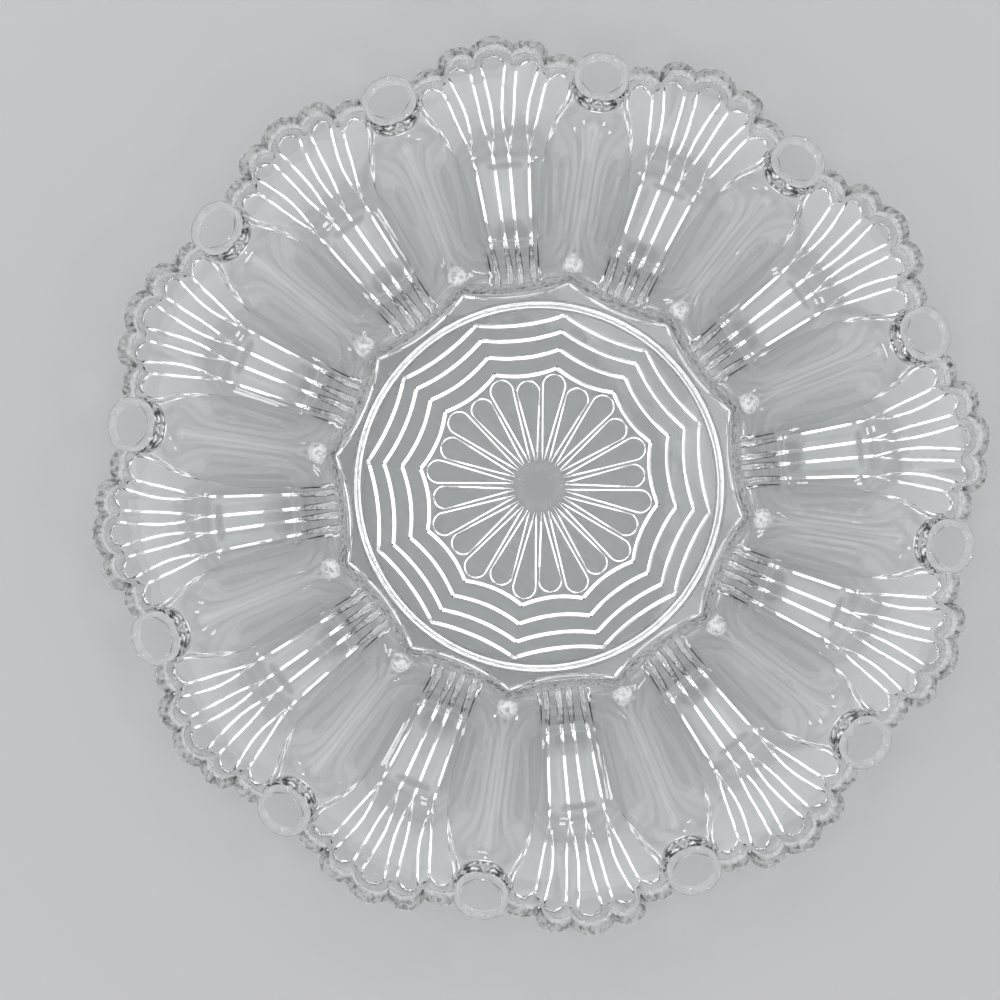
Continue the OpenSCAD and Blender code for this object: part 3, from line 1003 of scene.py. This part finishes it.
class Value:
    """A shader socket that takes part in Python sums, which add Math nodes."""

    def __init__(self, graph: "Graph", socket: bpy.types.NodeSocket) -> None:
        """Wraps an output socket of a node in graph."""
        self.graph = graph
        self.socket = socket

    def _math(self, operation: str, first: "Value | float", second: "Value | float") -> "Value":
        """A Math node of that operation on two values."""
        return self.graph.node("ShaderNodeMath", {"operation": operation}, {0: first, 1: second})

    def __add__(self, other: "Value | float") -> "Value":
        """Sum."""
        return self._math("ADD", self, other)

    def __radd__(self, other: float) -> "Value":
        """Sum with a number on the left."""
        return self._math("ADD", other, self)

    def __mul__(self, other: "Value | float") -> "Value":
        """Product."""
        return self._math("MULTIPLY", self, other)

    def __rmul__(self, other: float) -> "Value":
        """Product with a number on the left."""
        return self._math("MULTIPLY", other, self)

    def maximum(self, other: "Value | float") -> "Value":
        """The greater of the two."""
        return self._math("MAXIMUM", self, other)


class Graph:
    """The nodes of a material or of the world."""

    output = {"MATERIAL": "ShaderNodeOutputMaterial", "WORLD": "ShaderNodeOutputWorld"}

    def __init__(self, owner: bpy.types.Material | bpy.types.World) -> None:
        """Clears the nodes of a material or a world."""
        owner.use_nodes = True
        self.owner = owner
        self.tree = owner.node_tree
        self.tree.nodes.clear()

    @classmethod
    def material(cls, name: str) -> "Graph":
        """Starts a new material with no nodes."""
        return cls(bpy.data.materials.new(name))

    def node(
        self,
        kind: str,
        settings: dict[str, object],
        inputs: dict[int | str, object],
        output: int | str = 0,
    ) -> Value:
        """Adds a node.

        Args:
            kind: the node's type.
            settings: its properties by name, set first.
            inputs: values or links by socket name or number.
            output: which output the result stands for.

        Returns:
            That output, as a value.
        """
        made = self.tree.nodes.new(kind)
        for name, value in settings.items():
            setattr(made, name, value)
        for name, value in inputs.items():
            if isinstance(value, Value):
                self.tree.links.new(value.socket, made.inputs[name])
            else:
                made.inputs[name].default_value = value
        return Value(self, made.outputs[output])

    def noise(self, scale: float, detail: float) -> Value:
        """Noise from 0 to 1 on Object coordinates."""
        place = self.node("ShaderNodeTexCoord", {}, {}, "Object")
        inputs = {"Vector": place, "Scale": scale, "Detail": detail}
        return self.node("ShaderNodeTexNoise", {}, inputs)

    def surface(self, shader: Value) -> None:
        """Feeds a shader to the output."""
        out = self.tree.nodes.new(self.output[self.owner.id_type])
        self.tree.links.new(shader.socket, out.inputs["Surface"])


@dataclass(frozen=True)
class ClearGlass:
    """Fire-polished pressed glass, mottled and rough where the mesh is marked, and patched there with
    opaque white: frost on the rim and the foot, and a painted highlight on the border, the ribs'
    starts and the beads.
    """

    colour: tuple[float, float, float, float] = (0.985, 0.995, 0.992, 1.0)
    ior: float = 1.52
    mean_roughness: float = 0.22
    frost_and_highlight_colour: tuple[float, float, float, float] = (0.86, 0.88, 0.87, 1.0)
    frost_and_highlight_roughness: float = 0.5
    frost_and_highlight_span: tuple[float, float] = (0.25, 0.6)
    ripple_scale: float = 90.0
    ripple_detail: float = 2.0
    ripple: float = 0.1
    mottle_scale: float = 700.0
    mottle_detail: float = 3.0
    mottle: float = 0.16
    relief: float = 0.0004

    def material(self) -> bpy.types.Material:
        """Builds the glass: smooth with a faint ripple, and rough and mottled where it is marked,
        with white patches that are frost on the rim and foot and painted highlights on the border,
        the ribs' starts and the beads.
        """
        g = Graph.material("clear_glass")
        # band: the mark, which is frost on the rim and foot and a painted highlight on the border,
        # the ribs' starts and the beads.
        band = g.node("ShaderNodeAttribute", {"attribute_name": FROST_AND_HIGHLIGHT}, {}, "Fac")
        ripple = g.noise(self.ripple_scale, self.ripple_detail)
        mottle = g.noise(self.mottle_scale, self.mottle_detail)
        height = ripple * self.ripple + mottle * band * self.mottle
        bump = g.node("ShaderNodeBump", {}, {"Height": height, "Distance": self.relief}, "Normal")
        clear_inputs = {
            "Base Color": self.colour,
            "Roughness": band * mottle * (2.0 * self.mean_roughness),
            "IOR": self.ior,
            "Transmission Weight": 1.0,
            "Normal": bump,
        }
        # An opaque pale white: frost on the rim and foot, and a painted highlight on the border, the
        # ribs' starts and the beads.
        frost_and_highlight_inputs = {
            "Base Color": self.frost_and_highlight_colour,
            "Roughness": self.frost_and_highlight_roughness,
            "Normal": bump,
        }
        clear = g.node("ShaderNodeBsdfPrincipled", {}, clear_inputs)
        frost_and_highlight_shader = g.node("ShaderNodeBsdfPrincipled", {}, frost_and_highlight_inputs)
        first, last = self.frost_and_highlight_span
        patches = g.node(
            "ShaderNodeMapRange",
            {"interpolation_type": "SMOOTHSTEP"},
            {"Value": mottle, "From Min": first, "From Max": last},
        )
        g.surface(g.node("ShaderNodeMixShader", {}, {0: band * patches, 1: clear, 2: frost_and_highlight_shader}))
        return g.owner


@dataclass(frozen=True)
class PaleFloor:
    """A plain matt floor, round and as wide as the lamps light it."""

    colour: tuple[float, float, float, float] = (0.55, 0.56, 0.57, 1.0)
    roughness: float = 0.7
    radius: float = 0.73
    corners: int = 128
    drop: float = 0.05

    def build(self) -> bpy.types.Object:
        """Makes the floor a hair under the plate's foot."""
        turn = np.linspace(0.0, 2.0 * np.pi, self.corners, endpoint=False)
        low = np.full(self.corners, -self.drop * MM)
        points = np.column_stack([self.radius * np.cos(turn), self.radius * np.sin(turn), low])
        floor = new_mesh("floor", points, [np.arange(self.corners)[None, :]])
        g = Graph.material("pale_floor")
        shader = g.node(
            "ShaderNodeBsdfPrincipled", {}, {"Base Color": self.colour, "Roughness": self.roughness}
        )
        g.surface(shader)
        floor.data.materials.append(g.owner)
        return floor


@dataclass(frozen=True)
class SoftBox:
    """A soft lamp, which points at the plate."""

    name: str
    azimuth: float
    elevation: float
    distance: float
    size: tuple[float, float]
    power: float

    def build(self) -> bpy.types.Object:
        """Places the lamp round the plate and turns it to the plate's middle."""
        lamp = bpy.data.lights.new(self.name, "AREA")
        lamp.shape = "RECTANGLE"
        lamp.size, lamp.size_y = self.size
        lamp.energy = self.power
        box = bpy.data.objects.new(self.name, lamp)
        a, e = math.radians(self.azimuth), math.radians(self.elevation)
        away = Vector((math.cos(a) * math.cos(e), math.sin(a) * math.cos(e), math.sin(e)))
        box.location = away * self.distance
        box.rotation_euler = away.to_track_quat("Z", "Y").to_euler()
        box.visible_camera = False
        bpy.context.scene.collection.objects.link(box)
        return box


@dataclass(frozen=True)
class PhotoCamera:
    """The photograph's view, nearly straight along the plate's axis."""

    frame_px: float = 1000.0
    middle_px: tuple[float, float] = (542.25, 485.16)
    outline_px: float = 453.3
    base_shift_px: tuple[float, float] = (-3.0, 1.3)
    base_depth: float = 0.027
    distance: float = 0.95
    turn: float = 6.6
    sensor: float = 36.0

    def build(self, plate_r: float, rim_z: float) -> bpy.types.Object:
        """Sets the lens by the outline's size, and the place by how far the base is off centre.

        Args:
            plate_r: radius of the plate's outline, in metres.
            rim_z: height of the rim, in metres.

        Returns:
            The camera.
        """
        scale = plate_r / self.outline_px
        frame_w = scale * self.frame_px
        turn = math.radians(self.turn)
        right = Vector((math.cos(turn), -math.sin(turn), 0.0))
        up = Vector((math.sin(turn), math.cos(turn), 0.0))
        off = [self.frame_px / 2.0 - m for m in self.middle_px]
        aim = right * (off[0] * scale) - up * (off[1] * scale) + Vector((0.0, 0.0, rim_z))
        lean = [s * scale / self.base_depth for s in self.base_shift_px]
        spot = right * (lean[0] * self.distance) - up * (lean[1] * self.distance)
        spot += Vector((0.0, 0.0, rim_z + self.distance))
        camera = bpy.data.objects.new("camera", bpy.data.cameras.new("camera"))
        camera.data.sensor_width = self.sensor
        camera.data.lens = self.sensor * (spot - aim).length / frame_w
        back = (spot - aim).normalized()
        side = up.cross(back).normalized()
        top = back.cross(side)
        turned = Matrix((side, top, back)).transposed()
        camera.matrix_world = Matrix.Translation(spot) @ turned.to_4x4()
        bpy.context.scene.collection.objects.link(camera)
        bpy.context.scene.camera = camera
        return camera


@dataclass
class Studio:
    """Plain soft light: a key box, three small ones, and rings of boxes round the plate."""

    world: tuple[float, float, float, float] = (0.19, 0.195, 0.205, 1.0)
    key: SoftBox = SoftBox("key_box", 130.0, 52.0, 1.3, (0.8, 0.5), 0.8)
    small: SoftBox = SoftBox("small_box", 75.0, 58.0, 1.2, (0.12, 0.12), 0.5)
    top: SoftBox = SoftBox("top_box", 30.0, 77.5, 1.27, (0.34, 0.3), 0.28)
    middle: SoftBox = SoftBox("middle_box", 40.0, 51.0, 1.0, (1.25, 0.38), 1.05)
    low: SoftBox = SoftBox("low_box", 30.0, 19.0, 0.8, (1.5, 0.36), 1.9)
    counts: tuple[int, int, int, int] = (3, 8, 4, 4)
    backdrop: tuple[float, float, float, float] = (0.43, 0.44, 0.45, 1.0)
    boxes: list[SoftBox] = field(init=False)

    def __post_init__(self) -> None:
        """Lists the boxes: each kind but the key box stands at even steps round the plate."""
        self.boxes = [self.key]
        kinds = (self.small, self.top, self.middle, self.low)
        for box, count in zip(kinds, self.counts):
            for i in range(count):
                turn = box.azimuth + i * 360.0 / count
                self.boxes.append(replace(box, name=f"{box.name}_{i + 1}", azimuth=turn))

    def build(self) -> None:
        """Makes the world and the lamps.

        The world lights the plate with one grey, and is seen, straight or by the glass, as another.
        """
        world = bpy.data.worlds.new("studio")
        g = Graph(world)
        kinds = ("Is Camera Ray", "Is Glossy Ray", "Is Transmission Ray")
        rays = [g.node("ShaderNodeLightPath", {}, {}, kind) for kind in kinds]
        seen = rays[0].maximum(rays[1]).maximum(rays[2])
        light = g.node("ShaderNodeBackground", {}, {"Color": self.world})
        shown = g.node("ShaderNodeBackground", {}, {"Color": self.backdrop})
        g.surface(g.node("ShaderNodeMixShader", {}, {0: seen, 1: light, 2: shown}))
        bpy.context.scene.world = world
        for box in self.boxes:
            box.build()


@dataclass(frozen=True)
class RimLoops:
    """The rings between the cups, and the oval seeds in the glass under them."""

    s: PlateSizes
    loop: LoopSizes
    section: GlassSection

    def _copies(self, name: str, shape: Shape, r: float, z: float) -> bpy.types.Object:
        """Copies of a shape at radius r and height z, which lean as the rings do."""
        lean = Matrix.Rotation(math.radians(-self.loop.tilt), 4, "Y")
        return ring_of_copies(name, shape, Matrix.Translation((r * MM, 0.0, z * MM)) @ lean, self.s)

    def rings(self) -> bpy.types.Object:
        """Makes the rings."""
        loop = self.loop
        shape = tube_ring(loop.ring_d / 2.0 * MM, loop.bar_d / 2.0 * MM)
        return self._copies("loops", shape, loop.centre_r, loop.centre_z)

    def seeds(self) -> bpy.types.Object:
        """Makes the seeds, a little above the glass's surface under the rings."""
        r = self.loop.low_r - self.loop.seed_in
        level = self.section.top(np.array(r), np.array(self.s.half_pitch))
        shape = ball(tuple(half * MM for half in self.loop.seed))
        return self._copies("seeds", shape, r, float(level) + self.loop.seed_up)


@dataclass(frozen=True)
class Beads:
    """The oval beads in the points of the border, in millimetres."""

    s: PlateSizes
    border: ScallopedLine
    halves: tuple[float, float, float] = (2.4, 3.0, 2.5)
    out: float = 2.0
    up: float = 0.7
    skin: float = 1.02

    @property
    def spot(self) -> tuple[float, float]:
        """Radius and height of the middle of a bead."""
        point_r = float(self.border.radius(np.array(self.s.half_pitch)))
        return point_r + self.out, self.s.border_h + self.up

    def build(self) -> bpy.types.Object:
        """Makes the beads."""
        r, z = self.spot
        shape = ball(tuple(half * MM for half in self.halves))
        return ring_of_copies("beads", shape, Matrix.Translation((r * MM, 0.0, z * MM)), self.s)

    def holds(self, r: np.ndarray, z: np.ndarray, away: np.ndarray) -> np.ndarray:
        """Which points are a bead's: (x / a)^2 + (y / b)^2 + (z / c)^2 < skin^2.

        Args:
            r: radius of every point.
            z: height of every point.
            away: angle of every point from the middle of the nearest bead, in radians.

        Returns:
            True for the points of a bead.
        """
        middle_r, middle_z = self.spot
        x = (r * np.cos(away) - middle_r) / self.halves[0]
        y = r * np.sin(away) / self.halves[1]
        return np.hypot(x, np.hypot(y, (z - middle_z) / self.halves[2])) < self.skin


@dataclass(frozen=True)
class FrostAndHighlight:
    """How frosted the glass is, and how much white is painted there as a highlight, from 0 to 1, with
    reaches in millimetres and degrees.
    """

    rim: float = 0.42
    rim_past: float = 0.2
    rim_ease: float = 0.6
    loop_ease: float = 0.35
    foot: float = 0.1
    foot_wear: float = 0.3
    # The beads' share of white is a painted highlight.
    bead_highlight: float = 0.95
    # The border's and the ribs' shares of white are a painted highlight along the border's step and
    # the ribs' starts.
    border: float = 0.85
    border_reach: float = 1.7
    border_rise: float = 1.6
    rib: float = 0.75
    rib_reach: float = 15.0
    rib_rise: float = 1.5
    least_rib: float = 0.02

    def _on_rim(self, cups: CupGrid, r: np.ndarray, off: np.ndarray) -> np.ndarray:
        """Frost on the rim's roll, at radius r and angle off from a cup's axis, up to the loops."""
        c = cups.columns
        half = (c.turn == 0.0) & (c.side > 0) & ~c.in_flank
        angle, outline = c.even(c.outline)[half], c.outline[half]
        order = np.argsort(angle)
        edge = np.interp(off, angle[order], outline[order])
        rim = smooth((cups.roll.band + self.rim_past - (edge - r)) / self.rim_ease)
        return rim * self.rim * (1.0 - smooth((off - c.lobe_end) / self.loop_ease))

    def _border_highlight(
        self, cups: CupGrid, r: np.ndarray, z: np.ndarray, off: np.ndarray
    ) -> np.ndarray:
        """White painted as a highlight on the underside at the border's steep side, and on the ribs
        that start there.

        Args:
            cups: the grid of the cups.
            r: radius of every vertex.
            z: height of every vertex.
            off: angle of every vertex from the axis of its cup, without its sign.

        Returns:
            The share of painted highlight, which fades out on both sides of the border and along the
            ribs.
        """
        section = cups.section
        past = r - section.border.radius(off)
        low = z < section.top(r, off) - cups.s.border_t / 2.0
        on_rib = cups.columns.near_rib(np.maximum(r, cups.s.border_r), off) > self.least_rib
        # Painted highlight: white on the border's step and on the ribs' starts.
        side = self.border * smooth(self.border_rise * (1.0 - np.abs(past) / self.border_reach))
        along = self.rib * smooth(self.rib_rise * (1.0 - past / self.rib_reach))
        return np.maximum(side, along * on_rib * (past > 0.0)) * low

    def mark(self, plate: bpy.types.Object, cups: CupGrid, beads: Beads) -> None:
        """Stores frost and painted highlights on the mesh: frost on the rim's roll and the foot's
        flat, and a painted highlight on the border and the beads.

        Args:
            plate: the whole plate.
            cups: the grid of the cups.
            beads: the beads.
        """
        s = cups.s
        places = np.empty(len(plate.data.vertices) * 3, dtype=np.float32)
        plate.data.vertices.foreach_get("co", places)
        x, y, z = places.reshape(-1, 3).T / MM
        r, off = np.hypot(x, y), s.off_axis(np.degrees(np.arctan2(y, x)))
        foot = self.foot * smooth((self.foot_wear - z) / self.foot_wear) * (r < s.border_r)
        # The beads are marked nearly white, as a painted highlight.
        bead_highlight = self.bead_highlight * beads.holds(r, z, np.radians(s.half_pitch - off))
        marks = [self._on_rim(cups, r, off), foot, bead_highlight, self._border_highlight(cups, r, z, off)]
        layer = plate.data.attributes.new(FROST_AND_HIGHLIGHT, "FLOAT", "POINT")
        layer.data.foreach_set("value", np.maximum.reduce(marks).astype(np.float32))


@dataclass
class Platter:
    """The plate: one piece of glass, with its loops, seeds and beads joined to it."""

    sizes: PlateSizes = PlateSizes()
    loop: LoopSizes = LoopSizes()
    # Frost on the rim and foot, and painted highlights on the border, the ribs' starts and the beads.
    frost_and_highlight: FrostAndHighlight = FrostAndHighlight()
    finish: ClearGlass = ClearGlass()
    crease: float = 35.0

    def __post_init__(self) -> None:
        """Works out the two grids of the plate's surface, and the small parts."""
        self.cups = CupGrid(self.sizes, self.loop)
        self.centre = CentreGrid(self.sizes)
        self.loops = RimLoops(self.sizes, self.loop, self.cups.section)
        self.beads = Beads(self.sizes, self.cups.section.border)

    def build(self) -> bpy.types.Object:
        """Makes the surface, joins the small parts, and dresses the glass."""
        plate = self._surface()
        for build_part in (self.loops.rings, self.loops.seeds, self.beads.build):
            fuse(plate, build_part())
        plate.data.shade_smooth()
        plate.data.set_sharp_from_angle(angle=math.radians(self.crease))
        # Marks frost and painted highlights on the mesh.
        self.frost_and_highlight.mark(plate, self.cups, self.beads)
        plate.data.materials.clear()
        plate.data.materials.append(self.finish.material())
        return plate

    def _surface(self) -> bpy.types.Object:
        """Joins the two grids, and closes the flat centre on both sides."""
        cups, centre = self.cups.points(), self.centre.points()
        rows, columns = cups.shape[:2]
        centre_rows, centre_columns = centre.shape[:2]
        last = (rows - 1) * columns
        first = rows * columns
        end = first + (centre_rows - 1) * centre_columns
        faces = [
            grid_faces(rows, columns),
            grid_faces(centre_rows, centre_columns) + first,
            join_rings(self.cups.angles()[-1], self.centre.a[0]) + last,
            np.arange(columns)[None, :],
            (end + np.arange(centre_columns)[::-1])[None, :],
        ]
        points = np.concatenate([cups.reshape(-1, 3), centre.reshape(-1, 3)])
        return new_mesh("platter_glass", points, faces)


def is_closed(piece: bpy.types.Object) -> bool:
    """True if every edge of the piece has two faces."""
    mesh = piece.data
    edges = np.empty(len(mesh.loops), dtype=np.int32)
    mesh.loops.foreach_get("edge_index", edges)
    return bool(np.all(np.bincount(edges, minlength=len(mesh.edges)) == 2))


def main() -> None:
    """Builds the camera, the studio and the platter, and reports the piece."""
    logging.basicConfig(level=logging.INFO, format="%(message)s")
    bpy.context.scene.view_settings.view_transform = "Standard"
    platter = Platter()
    rim_z = (platter.sizes.plate_h - platter.cups.roll.roll_r) * MM
    PhotoCamera().build(platter.sizes.plate_r * MM, rim_z)
    Studio().build()
    PaleFloor().build()
    glass = platter.build()
    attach(glass, BODY)
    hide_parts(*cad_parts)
    faces = sum(len(p.vertices) - 2 for p in glass.data.polygons)
    LOG.info("%s: %d triangles, closed %s", glass.name, faces, is_closed(glass))


if __name__ == "__main__":
    main()
